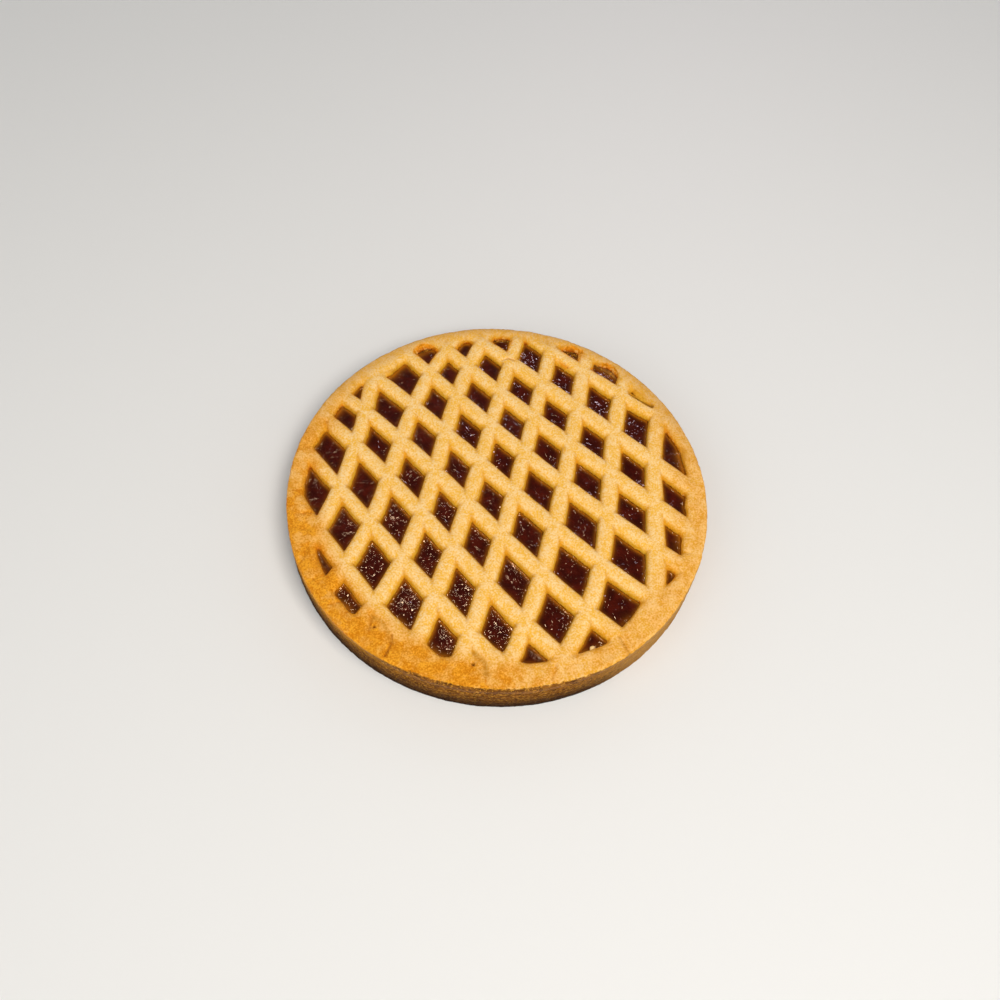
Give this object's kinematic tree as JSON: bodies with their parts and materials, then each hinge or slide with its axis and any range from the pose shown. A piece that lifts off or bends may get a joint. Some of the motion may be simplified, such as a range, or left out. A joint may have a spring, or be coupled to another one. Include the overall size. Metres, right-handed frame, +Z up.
{
  "type": "lattice jam tart",
  "caption": "Round shortcrust tart with a jam filling, a pressed diamond lattice top and a closed rim, standing on its flat base.",
  "frame": {"origin": "centre of the flat underside of the pastry case", "axes": "+Z up through the lattice; -Y is the side nearest the viewer in the picture; X to the right"},
  "size_m": [0.26, 0.26, 0.027],
  "materials": {
    "baked_side_crust": "dry baked shortcrust, brown, fine ribbed relief",
    "jam": "glossy set fruit jam, dark red brown, slightly lumpy",
    "golden_crust": "dry baked shortcrust, pale gold, fine grain"
  },
  "bodies": {
    "root": {"pastry_case": "baked_side_crust", "apricot_jam": "jam", "lattice_top": "golden_crust"}
  },
  "joints": []
}
